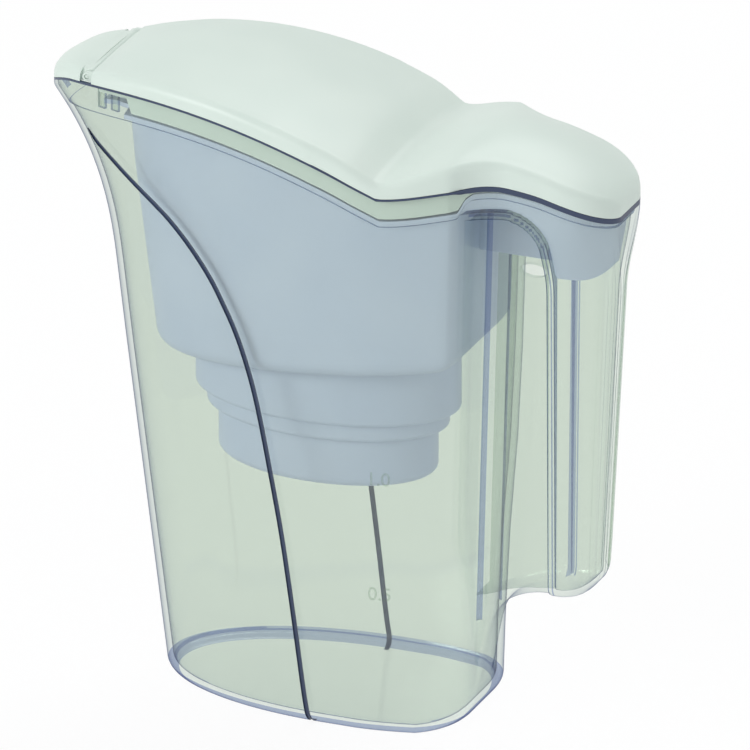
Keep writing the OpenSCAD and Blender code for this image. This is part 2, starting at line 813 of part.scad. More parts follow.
jug();
reservoir();
cartridge_shell();
cartridge_cap();
cartridge_seal();
upper_screen();
lower_screen();
filter_media();
lid();
hinge_ears();
spout_flap();
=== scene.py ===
import bpy, math
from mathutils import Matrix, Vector


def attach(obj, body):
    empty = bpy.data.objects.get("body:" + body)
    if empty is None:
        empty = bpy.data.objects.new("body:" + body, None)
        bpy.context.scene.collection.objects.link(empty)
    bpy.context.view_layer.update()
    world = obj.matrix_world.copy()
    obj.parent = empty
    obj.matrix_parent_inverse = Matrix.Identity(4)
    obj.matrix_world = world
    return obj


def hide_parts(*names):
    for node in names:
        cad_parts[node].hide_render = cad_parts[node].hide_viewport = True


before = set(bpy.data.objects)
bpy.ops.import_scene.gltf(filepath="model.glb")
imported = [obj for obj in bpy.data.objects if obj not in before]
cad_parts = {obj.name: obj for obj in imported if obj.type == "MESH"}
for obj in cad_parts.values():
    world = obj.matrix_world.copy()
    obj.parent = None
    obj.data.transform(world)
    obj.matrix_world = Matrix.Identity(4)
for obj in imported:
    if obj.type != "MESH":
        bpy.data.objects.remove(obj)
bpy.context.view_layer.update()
mm = 0.001


def clamp(v, low, high): return max(low, min(high, v))
def mix(a, b, t): return a + (b - a) * t
def smooth(t): c = clamp(t, 0, 1); return c * c * (3 - 2 * c)
def bezier(a, b, c, t): return a * (1 - t) ** 2 + b * 2 * t * (1 - t) + c * t * t


def spread(start, end, step):
    count = max(1, round((end - start) / step)); return [mix(start, end, i / count) for i in range(count + 1)]


def softTable(x, table):
    # reads a list of (place, value) pairs with a smooth line through the points
    if x <= table[0][0]: return table[0][1]
    if x >= table[-1][0]: return table[-1][1]
    k = max(i for i in range(len(table) - 1) if table[i][0] <= x)
    def slope(i):
        i0, i1 = max(i - 1, 0), min(i + 1, len(table) - 1)
        return (table[i1][1] - table[i0][1]) / (table[i1][0] - table[i0][0])
    (x0, y0), (x1, y1) = table[k], table[k + 1]
    h = x1 - x0; t = (x - x0) / h
    return ((2*t**3 - 3*t*t + 1) * y0 + (t**3 - 2*t*t + t) * h * slope(k)
            + (-2*t**3 + 3*t*t) * y1 + (t**3 - t*t) * h * slope(k + 1))


def deselectAll():
    if bpy.context.object and bpy.context.object.mode != "OBJECT": bpy.ops.object.mode_set(mode="OBJECT")
    bpy.ops.object.select_all(action="DESELECT")


def pick(piece):
    deselectAll(); piece.select_set(True); bpy.context.view_layer.objects.active = piece


def applyAll(piece):
    # puts the piece's place, turn and size into its mesh
    pick(piece); bpy.ops.object.transform_apply(location=True, rotation=True, scale=True)


def ringStack(name, rings, seam=False):
    # a circle of points extruded ring by ring, each ring then laid on its outline, in millimetres;
    # with a seam the first ring is a line, and its two sides are merged
    count = len(rings[0])
    deselectAll()
    bpy.ops.mesh.primitive_circle_add(vertices=count, radius=1)
    piece = bpy.context.object; piece.name = name; piece.data.name = name
    bpy.ops.object.mode_set(mode="EDIT"); bpy.ops.mesh.select_all(action="SELECT")
    for _ in rings[1:]:
        bpy.ops.mesh.extrude_region_move(TRANSFORM_OT_translate={"value": (0, 0, 1)})
    bpy.ops.object.mode_set(mode="OBJECT")
    first = piece.data.vertices[0].co; start = math.atan2(first.y, first.x)
    last = len(rings) - 1
    ends = {0: [], last: []}
    for v in piece.data.vertices:
        k = round(v.co.z)
        i = round((math.atan2(v.co.y, v.co.x) - start) / (2 * math.pi) * count) % count
        if k in ends: ends[k].append(v.index)
        v.co = Vector(rings[k][i]) * mm
    for k in ((last,) if seam else (0, last)):
        bpy.ops.object.mode_set(mode="EDIT"); bpy.ops.mesh.select_mode(type="VERT")
        bpy.ops.mesh.select_all(action="DESELECT"); bpy.ops.object.mode_set(mode="OBJECT")
        for i in ends[k]: piece.data.vertices[i].select = True
        bpy.ops.object.mode_set(mode="EDIT"); bpy.ops.mesh.edge_face_add()
    bpy.ops.mesh.select_all(action="SELECT")
    if seam: bpy.ops.mesh.remove_doubles(threshold=0.000001)
    bpy.ops.mesh.normals_make_consistent(inside=False)
    bpy.ops.object.mode_set(mode="OBJECT")
    return piece


def bothSides(half):
    # closes a half outline, drawn from nose to tail, with its mirror image
    back = [(x, -y) for x, y in reversed(half) if y != 0]
    return list(half) + back


def plate(name, points, reach=90, middle=0):
    # a drawing in X and Z made solid from side to side
    return ringStack(name, [[(x, middle - reach, z) for x, z in points], [(x, middle + reach, z) for x, z in points]])


def combine(piece, tool, how):
    # all pieces are closed forms, so the manifold solver keeps them closed, the same on every run;
    # the empty slot that it adds is dropped
    pick(piece)
    m = piece.modifiers.new(how, "BOOLEAN"); m.operation = how; m.solver = "MANIFOLD"; m.object = tool
    bpy.ops.object.modifier_apply(modifier=m.name)
    bpy.data.objects.remove(tool, do_unlink=True)
    while piece.data.materials and not piece.data.materials[-1]: piece.data.materials.pop()
    if not piece.data.polygons: raise ValueError("a cut left nothing of " + piece.name)
    return piece


def keepMain(piece):
    # crumbs left by a cut are dropped, and the largest body stays
    pick(piece); name = piece.name
    bpy.ops.object.mode_set(mode="EDIT"); bpy.ops.mesh.select_all(action="SELECT")
    bpy.ops.mesh.remove_doubles(threshold=0.00001); bpy.ops.mesh.dissolve_degenerate(threshold=0.00001)
    bpy.ops.mesh.separate(type="LOOSE")
    bpy.ops.object.mode_set(mode="OBJECT")
    parts = sorted(bpy.context.selected_objects, key=lambda p: len(p.data.polygons))
    for crumb in parts[:-1]: bpy.data.objects.remove(crumb, do_unlink=True)
    parts[-1].name = name
    return parts[-1]


def cleanUp(piece, angle=32):
    pick(piece)
    bpy.ops.object.mode_set(mode="EDIT"); bpy.ops.mesh.select_all(action="SELECT")
    bpy.ops.mesh.remove_doubles(threshold=0.000004); bpy.ops.mesh.delete_loose()
    bpy.ops.mesh.select_all(action="SELECT"); bpy.ops.mesh.fill_holes(sides=8)
    bpy.ops.object.mode_set(mode="OBJECT")
    bpy.ops.object.shade_smooth_by_angle(angle=math.radians(angle))
    return piece


# the plan of the jug, in millimetres
jug = {"tip": -127.3, "tail": 127.3, "width": 103.6, "wall": 2.6, "floor": 3.2, "footRound": 5.5,
       "footWidth": 90, "nose": -76.2, "back": 63.6, "backLean": 6.2, "beak": 19, "widest": 8,
       "creaseWidth": 2.0, "creaseDepth": 0.7, "ledge": 1.0, "ledgeDrop": 13, "tailLedgeDrop": 6,
       # line and lineTail: heights of the navy band of painted shadow just under the lid, at the body and at the tail
       "line": 0.9, "lineTail": 2.2, "flareZ": 179, "beakZ": 253.5, "widthZ": 244}
halfWidth = jug["width"] / 2


def flare(z): return clamp((z - jug["flareZ"]) / (jug["beakZ"] - jug["flareZ"]), 0, 1)
def leanX(z): return mix(jug["nose"], jug["tip"] + jug["beak"], clamp(z / jug["beakZ"], 0, 1))
def noseX(z): return leanX(z) - jug["beak"] * flare(z) ** 2.6
def bodyHalf(z): return mix(jug["footWidth"] / 2, halfWidth, clamp(z / jug["widthZ"], 0, 1.1))
def backX(z): return jug["back"] + jug["backLean"] * clamp(z / jug["widthZ"], 0, 1.1)
def cornerHalf(z): return bodyHalf(z) - mix(8, 12.6, clamp(z / jug["widthZ"], 0, 1))
def nosePower(z): return mix(2, 1.6, clamp((z - 150) / (jug["widthZ"] - 150), 0, 1))
def bowHalf(x, start, full, power):
    t = clamp((jug["widest"] - x) / (jug["widest"] - start), 0, 1)
    return full * max(1 - t ** power, 0) ** (1 / 2.1)
def frontHalf(x, z, inset): return bowHalf(x, noseX(z) + inset, bodyHalf(z) - inset, nosePower(z))
def sideHalf(x, z, inset):
    t = clamp((x - 22) / (backX(z) - 3 - 22), 0, 1)
    return mix(bodyHalf(z), cornerHalf(z), t ** 1.6) - inset


def planOutline(start, power, z, inset, bow=40, side=14, corner=12):
    back = backX(z) - inset
    low = 1 - smooth((z - 40) / 100)   # the back corners are rounder near the foot
    turn = back - max(mix(8, 16, low) - inset, 3)
    turnY = sideHalf(turn, z, inset)
    wide = jug["widest"]
    pts = []
    for i in range(bow + 1):
        x = wide - (wide - start) * math.cos(math.pi / 2 * i / bow)
        pts.append((x, bowHalf(x, start, bodyHalf(z) - inset, power) if i else 0))
    for i in range(1, side + 1):
        x = mix(wide, turn, i / side); pts.append((x, sideHalf(x, z, inset)))
    for i in range(1, corner + 1):
        t = i / corner
        pts.append((bezier(turn, back - 0.5 * low, back, t),
                    bezier(turnY, turnY - mix(2, 8, low), turnY - mix(12, 26, low), t)))
    return pts


def bodyOutline(z, inset): return planOutline(noseX(z) + inset, nosePower(z), z, inset)


bodyLevels = [30, 70, 110, 150, 165, 179, 188, 196, 203, 209, 215, 220, 225, 229, 233, 237, 241, 245, 249, 253.5, 272]


def bodyForm(name, inset, bottom, roundR, start=0):
    turns = [math.pi / 2 * i / 7 for i in range(8)]
    rings = []
    if start == 0:
        for a in turns:
            z = bottom + roundR * (1 - math.cos(a)); grow = roundR * (1 - math.sin(a))
            rings.append([(x, y, z) for x, y in bothSides(bodyOutline(z, inset + grow))])
    for z in bodyLevels:
        if z > max(bottom + roundR + 2, start):
            rings.append([(x, y, z) for x, y in bothSides(bodyOutline(z, inset))])
    return ringStack(name, rings)


# the rim line between lid and jug
kinkX, kinkZ, archX, archZ, saddleX, saddleZ, tailZ = 35.3, 241.5, -70, 266, 76.3, 246.3, 233
archR = ((kinkX - archX) ** 2 + (archZ - kinkZ) ** 2) / (2 * (archZ - kinkZ))
def arch(x, topX, topZ, r): return topZ - r + math.sqrt(r * r - (x - topX) ** 2)
def rimZ(x):
    x = clamp(x, jug["tip"], jug["tail"])
    if x < kinkX: return arch(x, archX, archZ, archR) - 0.016 * min(x + 110, 0) ** 2
    if x < saddleX: return mix(kinkZ, saddleZ, smooth((x - kinkX) / (saddleX - kinkX)))
    return mix(saddleZ, tailZ, ((x - saddleX) / (jug["tail"] - saddleX)) ** 2)


collarX, waistX, waistHalf, bulgeX, bulgeHalf, tailHalf = 64, 85, 29, 101, 28.2, 10
def tailHalfAt(x):
    if x < collarX: return sideHalf(x, jug["widthZ"], 0) - 0.6
    if x < waistX:
        return mix(waistHalf, sideHalf(collarX, jug["widthZ"], 0), (1 - (x - collarX) / (waistX - collarX)) ** 2)
    if x < bulgeX: return mix(waistHalf, bulgeHalf, smooth((x - waistX) / (bulgeX - waistX)))
    t = (x - bulgeX) / (jug["tail"] - bulgeX)
    return mix(tailHalf, bulgeHalf, max(1 - t ** 2.4, 0) ** 0.62)
def rimHalf(x):
    if x < jug["widest"]: return frontHalf(x, rimZ(x), 0)
    return sideHalf(x, jug["widthZ"], 0) if x < collarX else tailHalfAt(x)


# the hollow neck and handle
handle = {"width": 26.4, "topWidth": 31.6, "front": 96, "neck": 21.4, "recessTop": 231, "recessRound": 13.5,
          "edgeRound": 2.4, "footRound": 5, "fillet": 3.6, "low": 58.5, "from": 56, "flute": 1.2, "flutes": 8,
          "collarZ": 195, "eyeWidth": 12, "eyeHeight": 5.8, "eyeZ": 203.4}
underside = [(56, 6), (62.5, 9), (64.5, 16), (66.6, 30), (70, 43.5), (75, 51.4), (82, 56), (90, 58.5), (97, 59.1),
             (103.6, 59.5), (110.2, 61.4), (115.4, 65.9), (119.8, 73.5)]
undersideIn = [(56, 52), (64, 53.5), (70, 55.2), (76, 57.8), (84, 60), (92, 61.2), (97, 61.8), (103.6, 62.2),
               (110.2, 64.4), (115.4, 69), (119.8, 76.5)]


def gripHalf(z):
    return mix(handle["width"], handle["topWidth"], (z - handle["low"]) / (handle["collarZ"] - handle["low"])) / 2


def gripTail(z):
    start = handle["collarZ"]
    if z < start: return mix(jug["tail"] - 8.3, jug["tail"] - 2, clamp((z - 73) / (start - 73), 0, 1))
    return mix(jug["tail"] - 2, jug["tail"], smooth((z - start) / (231 - start)))


def collarShare(z): return smooth((z - handle["collarZ"]) / (234 - handle["collarZ"]))


def edgeDrop(x, z, inset):
    # rounds the side over to the edge of the finger recess
    r = handle["recessRound"]
    across, up = x - handle["front"] + r, z - handle["recessTop"] + r
    away = math.hypot(across, up) if across > 0 and up > 0 else max(across, up)
    full = handle["edgeRound"] if inset == 0 else 1
    t = clamp((away - r - inset) / full, 0, 1)
    return full * (1 - math.sqrt(max(1 - (1 - t) ** 2, 0)))


def gripOutline(z, inset, foot=None):
    # half outline of neck and handle at a height; foot is (corner radius, quarter turn) on the rounded underside
    back = gripTail(z) - inset
    places = [(x, 0) for x in spread(handle["from"], 80, 2)[:-1] + spread(80, 100, 0.7)]
    places += [(mix(100, back, math.sin(math.pi / 2 * i / 64)), i / 64) for i in range(1, 65)]
    pts = []
    for x, s in places:
        low = z
        if foot: low = softTable(x, underside if inset == 0 else undersideIn) + foot[0] * (1 - math.cos(foot[1]))
        u = clamp((x - bulgeX) / (back - bulgeX), 0, 1)
        plain = gripHalf(low) * max(1 - u ** 2.2, 0) ** 0.5
        wide = tailHalfAt(mix(x, x + jug["tail"] - back, clamp((x - bulgeX) / 20.3, 0, 1)))
        ripple = 0
        if inset == 0:
            wave = 0.5 - 0.5 * math.cos(2 * math.pi * handle["flutes"] * s)
            ripple = handle["flute"] * wave * (1 - collarShare(z)) * smooth((u - 0.3) / 0.1)
            if foot: ripple = ripple * math.sin(foot[1])
        y = max(mix(plain, wide, collarShare(low)) - inset - ripple * (1 - u) - edgeDrop(x, low, inset), 0.4)
        if foot: y = max(y - foot[0] * (1 - math.sin(foot[1])), 0.05 * y)
        pts.append((x - ripple * u, y, low))
    return pts


def mirrored(half):
    return [tuple(p) for p in half] + [(x, -y, z) for x, y, z in reversed(half)]


def gripForm(name, inset, start=0):
    rings = []
    if start == 0:
        r = handle["footRound"] - inset
        feet = [gripOutline(73, inset, (r, math.pi / 2 * i / 7)) for i in range(8)]
        middle = [mix(x, 86, 0.04) for x, y, z in mirrored(feet[0])]
        table = underside if inset == 0 else undersideIn
        rings = [[(x, 0, softTable(x, table)) for x in middle]] + [mirrored(f) for f in feet]
    for z in [84, 110, 150, handle["collarZ"], 199, 203, 207] + spread(210, 236, 1.3) + [245, 256]:
        if z >= start: rings.append(mirrored(gripOutline(z, inset)))
    return ringStack(name, rings, seam=start == 0)


def recessCut(piece, grow):
    # finger recess on both sides of the neck, grown by a wall
    r = handle["recessRound"] + grow; top = handle["recessTop"] + grow; front = handle["front"] + grow
    pts = [(36, -grow), (front, -grow)]
    pts += [(front - r + r * math.cos(a), top - r + r * math.sin(a)) for a in [math.pi / 2 * i / 14 for i in range(15)]]
    pts += [(36, top)]
    for side in (-1, 1):
        middle = side * (handle["neck"] / 2 - grow + 40)
        combine(piece, plate("recess", pts, reach=40, middle=middle), "DIFFERENCE")
    return piece


rimPlaces = sorted(set([-131.3, -127.3, 127.3, 131.3, kinkX] + [round(-127 + 2.5 * i, 2) for i in range(102)]))


def aboveRim(name, bodyDrop, tailDrop, noseDrop=None):
    # all that is higher than the rim line lowered by these drops
    low = [(x, rimZ(x) - mix(bodyDrop, tailDrop, smooth((x - 66) / 3))) for x in rimPlaces]
    if noseDrop: low = [(x, rimZ(x) - noseDrop) if x < -80 else (x, z) for x, z in low]
    return plate(name, low + [(131.3, 306), (-131.3, 306)])


def topForm(name, inset):
    # the jug's upper part with the top of the handle, drawn in by inset
    form = bodyForm(name, inset, 0, 0, start=205)
    grip = recessCut(gripForm("grip", inset, start=handle["collarZ"]), jug["wall"])
    return combine(form, grip, "UNION")


print("stage: outlines ready")


def linear(hexText):
    parts = [int(hexText[i:i + 2], 16) / 255 for i in (1, 3, 5)]
    return tuple(c / 12.92 if c <= 0.04045 else ((c + 0.055) / 1.055) ** 2.4 for c in parts) + (1,)


def addNode(tree, kind, settings={}, sockets={}):
    # adds a node, sets its options, and fills its sockets with values or links
    node = tree.nodes.new(kind)
    for key, value in settings.items(): setattr(node, key, value)
    for key, value in sockets.items():
        if isinstance(value, bpy.types.NodeSocket): tree.links.new(value, node.inputs[key])
        else: node.inputs[key].default_value = value
    return node


def newFinish(name):
    finish = bpy.data.materials.new(name); finish.use_nodes = True; finish.node_tree.nodes.clear()
    return finish, finish.node_tree


def objectPlace(tree): return addNode(tree, "ShaderNodeTexCoord").outputs["Object"]


def grain(tree, size, detail=2):
    # fine noise whose lumps are size millimetres across
    return addNode(tree, "ShaderNodeTexNoise", {}, {"Vector": objectPlace(tree), "Scale": 1000 / size, "Detail": detail})


def swing(tree, value, low, high):
    # the middle part of a pattern's values, spread from low to high
    return addNode(tree, "ShaderNodeMapRange", {}, {
        "Value": value, "From Min": 0.3, "From Max": 0.7, "To Min": low, "To Max": high}).outputs[0]


def mathNode(tree, how, *values):
    return addNode(tree, "ShaderNodeMath", {"operation": how}, dict(enumerate(values))).outputs[0]


def blend(tree, share, first, second):
    # a colour between two written colours
    return addNode(tree, "ShaderNodeMix", {"data_type": "RGBA"}, {0: share, 6: linear(first), 7: linear(second)}).outputs[2]


def mixed(tree, share, first, second):
    return addNode(tree, "ShaderNodeMixShader", {}, {0: share, 1: first.outputs[0], 2: second.outputs[0]})


def toSurface(tree, shader): addNode(tree, "ShaderNodeOutputMaterial", {}, {"Surface": shader.outputs[0]})


def bump(tree, height, depth, strength):
    return addNode(tree, "ShaderNodeBump", {}, {"Height": height, "Distance": depth * mm, "Strength": strength}).outputs[0]


def clearMoulding(name, look):
    # clear styrene plastic, injection moulded in a polished tool: a faint grey-green cast face on, which turns blue-grey
    # where one looks along the wall and more of it is passed, and a smooth gloss; thin walls, so light isn't bent
    finish, tree = newFinish(name)
    flow = grain(tree, look["ripple"], 1).outputs["Fac"]
    facing = addNode(tree, "ShaderNodeLayerWeight", {}, {"Blend": 0.5}).outputs["Facing"]
    along = mathNode(tree, "POWER", facing, look["turn"])
    tone = blend(tree, along, look["face"], look["edge"])
    through = addNode(tree, "ShaderNodeBsdfTransparent", {}, {"Color": tone})
    gloss = addNode(tree, "ShaderNodeBsdfAnisotropic", {}, {
        "Color": linear(look["sheen"]), "Roughness": swing(tree, flow, *look["rough"]),
        "Normal": bump(tree, flow, 0.05, 0.12)})
    wall = mixed(tree, mathNode(tree, "MULTIPLY_ADD", along, look["rimGloss"], look["gloss"]), through, gloss)
    path = addNode(tree, "ShaderNodeLightPath")      # what stands inside gets its light nearly whole
    lit = mathNode(tree, "MAXIMUM", path.outputs["Is Shadow Ray"], path.outputs["Is Diffuse Ray"])
    passed = addNode(tree, "ShaderNodeBsdfTransparent", {}, {"Color": linear(look["passes"])})
    toSurface(tree, mixed(tree, lit, wall, passed))
    return finish


def milkyMoulding(name, look):
    # unfilled polypropylene, injection moulded with a fine spark-eroded skin: light soaks through the wall
    finish = moulding(name, look)
    tree = finish.node_tree
    soak = addNode(tree, "ShaderNodeBsdfTranslucent", {}, {"Color": linear(look["colour"])})
    both = mixed(tree, look["soak"], tree.nodes["Principled BSDF"], soak)
    tree.links.new(both.outputs[0], tree.nodes["Material Output"].inputs["Surface"])
    return finish


def moulding(name, look):
    # opaque or milky plastic from a tool with a fine spark-eroded skin
    finish, tree = newFinish(name)
    fine = grain(tree, look["grain"], 2).outputs["Fac"]
    broad = grain(tree, 40, 1).outputs["Fac"]
    tone = blend(tree, swing(tree, broad, 0, 1), look["colour"], look["colourFar"])
    toSurface(tree, addNode(tree, "ShaderNodeBsdfPrincipled", {}, {
        "Base Color": tone, "IOR": 1.49, "Roughness": swing(tree, fine, *look["rough"]),
        "Normal": bump(tree, fine, look["depth"], 0.3)}))
    return finish


def granules(name, look):
    # carbon and resin beads: dark and pale grains about a millimetre across
    finish, tree = newFinish(name)
    beads = addNode(tree, "ShaderNodeTexVoronoi", {}, {"Vector": objectPlace(tree), "Scale": 1000 / look["bead"]})
    tone = blend(tree, swing(tree, beads.outputs["Color"], 0, 1), look["dark"], look["pale"])
    toSurface(tree, addNode(tree, "ShaderNodeBsdfPrincipled", {}, {
        "Base Color": tone, "Roughness": 0.8, "Normal": bump(tree, beads.outputs["Distance"], 0.4, 0.6)}))
    return finish


def wovenMesh(name, look):
    # nylon gauze: threads 0.4 mm apart, drawn at 0.8 mm so that they can show
    finish, tree = newFinish(name)
    place = objectPlace(tree)
    bands = [addNode(tree, "ShaderNodeTexWave", {"bands_direction": axis}, {
        "Vector": place, "Scale": 1000 / look["pitch"] / 3.1}).outputs["Fac"] for axis in ("X", "Y")]
    weave = mathNode(tree, "MAXIMUM", *bands)
    toSurface(tree, addNode(tree, "ShaderNodeBsdfPrincipled", {}, {
        "Base Color": blend(tree, weave, look["gap"], look["thread"]), "Roughness": 0.6,
        "Normal": bump(tree, weave, 0.1, 0.4)}))
    return finish


clearLook = {"face": "#F0F4F0", "edge": "#43588C", "turn": 6.5, "sheen": "#FFFFFF", "gloss": 0.05, "rimGloss": 0.04,
             "passes": "#FAFBFB", "rough": (0.03, 0.07), "ripple": 30}
# painted shade: a darker, bluer copy of the clear plastic for faces at corners, foot, recess edge, ledge and tab rims
edgeShadeLook = {"face": "#B4BFD6", "edge": "#55689A", "turn": 3, "sheen": "#FFFFFF", "gloss": 0.05, "rimGloss": 0.05,
            "passes": "#F4F6FA", "rough": (0.05, 0.1), "ripple": 8}
frostLook = {"colour": "#CDD8EA", "colourFar": "#C7D3E7", "grain": 1.2, "depth": 0.03, "rough": (0.32, 0.42), "soak": 0.18}
lidLook = {"colour": "#DBE7DF", "colourFar": "#D6E3DB", "grain": 0.8, "depth": 0.02, "rough": (0.34, 0.42), "soak": 0.15}
cartridgeLook = {"colour": "#EEF0F2", "colourFar": "#E8EBEE", "grain": 0.8, "depth": 0.02, "rough": (0.4, 0.5)}
sealLook = {"colour": "#C9CED4", "colourFar": "#C2C8CF", "grain": 0.5, "depth": 0.03, "rough": (0.5, 0.62)}
# painted shade: this navy stands for the dark that the clear crease and the gap under the lid show, not for a dye or
# ink
shadeLineLook = {"colour": "#2F3B55", "colourFar": "#34415C", "grain": 0.6, "depth": 0.02, "rough": (0.35, 0.45)}
clearPlastic = clearMoulding("clearStyrenePlastic", clearLook)
edgeShadePlastic = clearMoulding("styreneWithPaintedEdgeShade", edgeShadeLook)
shadeLinePaint = moulding("navyPaintedShadeLine", shadeLineLook)
frostedPlastic = milkyMoulding("milkyBluePolypropylene", frostLook)
lidPlastic = milkyMoulding("offWhitePolypropylene", lidLook)
cartridgePlastic = moulding("whitePolypropylene", cartridgeLook)
sealSilicone = moulding("paleSilicone", sealLook)
filterGranules = granules("carbonAndResinGranules", {"bead": 1.0, "dark": "#1C1C1F", "pale": "#6A5A3C"})
nylonGauze = wovenMesh("nylonGauze", {"pitch": 0.8, "gap": "#9AA0A6", "thread": "#EEF0F0"})
print("stage: finishes ready")


# the crease, seen from the side, from the beak down to the foot
creasePath = [(-104.5, 241.5), (-100.5, 237.2), (-93, 232.5), (-81, 225.4), (-68.7, 218.3), (-60, 212.5),
              (-50.3, 203.7), (-41.3, 193.2), (-34.9, 183), (-28.6, 171), (-23, 156), (-18.5, 139),
              (-12.7, 109), (-8, 82), (-3, 45.4), (1.2, 12.2), (3.6, -1)]


def creaseStrip():
    table = [(i, p[0]) for i, p in enumerate(creasePath)], [(i, p[1]) for i, p in enumerate(creasePath)]
    count = 4 * (len(creasePath) - 1)
    line = [(softTable(i / 4, table[0]), softTable(i / 4, table[1])) for i in range(count + 1)]
    left, right = [], []
    for i, p in enumerate(line):
        a, b = line[max(i - 1, 0)], line[min(i + 1, len(line) - 1)]
        dx, dz = b[0] - a[0], b[1] - a[1]; d = math.hypot(dx, dz)
        w = jug["creaseWidth"] / 2 * min(1, 0.25 + i / 5)
        left.append((p[0] - dz / d * w, p[1] + dx / d * w))
        right.append((p[0] + dz / d * w, p[1] - dx / d * w))
    return left + right[::-1]


def slotMaterials(piece, *finishes):
    piece.data.materials.clear()
    for finish in finishes: piece.data.materials.append(finish)


def neckFillet(side):
    # a hollow curve of plastic where the neck meets the back wall
    r, y0 = handle["fillet"], handle["neck"] / 2 - 0.15
    rings = []
    for z in (44, 52, 90, 140, 190, 231.5):
        x0 = backX(z) - 0.15      # its ends run a little into the walls
        turns = [math.pi / 2 * i / 8 for i in range(9)]
        arc = [(x0 + r - r * math.sin(a), side * (y0 + r - r * math.cos(a))) for a in turns]
        arc += [(x0 - 0.6, side * (y0 + r)), (x0 - 0.6, side * (y0 - 0.6)), (x0 + r, side * (y0 - 0.6))]
        rings.append([(x, y, z) for x, y in arc])
    return ringStack("fillet", rings)


def paintEdgeShade(piece):
    # painted shade: faces at the corners, foot and recess edge get the darker edge plastic, where one looks along the
    # plastic and it gathers the dark of the room
    front, top, r = handle["front"], handle["recessTop"], handle["recessRound"]
    for face in piece.data.polygons:
        if face.material_index: continue
        x, y, z = face.center / mm; n = face.normal; side = abs(y)
        across, up = x - front + r, z - top + r
        away = (math.hypot(across, up) if across > 0 and up > 0 else max(across, up)) - r
        foot = x < backX(z) + 1 and z < 9.5 and (0.55 < n.z < 0.75 or -0.97 < n.z < -0.3)
        recess = x > 70 and side > 9 and z > 60 and (0 < away < 0.95 or jug["wall"] < away < 3.4)
        corner = -0.3 < x - backX(z) < 4 and 10.6 < side < 15 and 44 < z < 232 and 0.3 < abs(n.x) < 0.9
        if foot or recess or corner: face.material_index = 2


def buildJug():
    body = bodyForm("clearJug", 0, 0, jug["footRound"])
    slotMaterials(body, clearPlastic, shadeLinePaint, edgeShadePlastic)
    skin = bodyForm("skin", jug["creaseDepth"], 0, jug["footRound"])
    strip = combine(plate("crease", creaseStrip()), skin, "DIFFERENCE")
    slotMaterials(strip, clearPlastic, shadeLinePaint)
    # the groove is real; its faces are painted navy, painted shade for the dark line that the clear crease shows
    for face in strip.data.polygons: face.material_index = 1
    combine(body, strip, "DIFFERENCE")
    print("stage: crease cut")
    grip = recessCut(gripForm("grip", 0), 0)
    combine(body, grip, "UNION")
    for side in (-1, 1): combine(body, neckFillet(side), "UNION")
    combine(body, bodyForm("inside", jug["wall"], jug["floor"], jug["footRound"] - 2), "DIFFERENCE")
    hollow = recessCut(gripForm("hollow", jug["wall"]), jug["wall"])
    combine(body, hollow, "DIFFERENCE")
    drop = aboveRim("drop", jug["ledgeDrop"], jug["tailLedgeDrop"])
    step = combine(topForm("step", jug["wall"] - jug["ledge"]), drop, "INTERSECT")
    slotMaterials(step, clearPlastic, shadeLinePaint, edgeShadePlastic)
    for face in step.data.polygons:
        if face.normal.z < -0.6: face.material_index = 2      # painted shade on the ledge, for the dark it shows seen along the wall
    combine(body, step, "DIFFERENCE")
    pick(body); bpy.ops.object.duplicate(linked=False)
    line = bpy.context.object      # the dark line that shows just under the lid, a band of its own painted navy: a painted shadow between lid and rim
    combine(line, aboveRim("low", jug["line"], jug["lineTail"]), "INTERSECT")
    combine(line, aboveRim("top", 0, 0), "DIFFERENCE")
    for face in line.data.polygons: face.material_index = 1
    combine(body, aboveRim("low", jug["line"] + 0.05, jug["lineTail"] + 0.05), "DIFFERENCE")
    print("stage: rim cut")
    deselectAll()
    bpy.ops.mesh.primitive_cylinder_add(vertices=64, radius=1, depth=1, rotation=(math.pi / 2, 0, 0))
    eye = bpy.context.object
    eye.scale = (handle["eyeWidth"] / 2 * mm, handle["eyeHeight"] / 2 * mm, (handle["neck"] + 4) * mm)
    eye.location = ((handle["front"] - 1 - handle["eyeWidth"] / 2) * mm, 0, handle["eyeZ"] * mm)
    applyAll(eye)
    combine(body, eye, "DIFFERENCE")
    cleanUp(body, 30)
    paintEdgeShade(body)
    cleanUp(line, 30)
    pick(body); line.select_set(True); bpy.ops.object.join()
    return body


# the frosted reservoir
tank = {"wall": 2.0, "gap": 2.4, "z": 154, "fall": 0.115, "round": 8, "top": 262, "wellX": -6.4, "wellLength": 96,
        "wellWidth": 55, "wellZ": 99.5, "seatZ": 124, "stepWidth": 2.85, "stepHeight": 8, "wellRound": 5,
        "flange": 2.0, "pourGap": 15.5, "tailGap": 1.2, "tongue": -99.3, "slot": 3, "seatGap": 0.2}
tongueCorner = [(-140, 60), (-79.3, 60), (-85.1, 22.7), (-93.3, 18.3), (-101, 17.1), (-140, 16.4)]


def tankForm(name, inset):
    r = tank["round"] - inset; rings = []
    base = jug["wall"] + tank["gap"]
    turns = [math.pi / 2 * i / 8 for i in range(9)]
    levels = [(tank["z"] + inset + r * (1 - math.cos(a)), inset + r * (1 - math.sin(a))) for a in turns]
    levels += [(z, inset) for z in (185, 210, 235, tank["top"])]
    for z, grow in levels:
        half = planOutline(leanX(z) + tank["pourGap"] + grow, 2, z, base + grow)
        rings.append([(x, y, z + tank["fall"] * x) for x, y in bothSides(half)])
    return ringStack(name, rings)


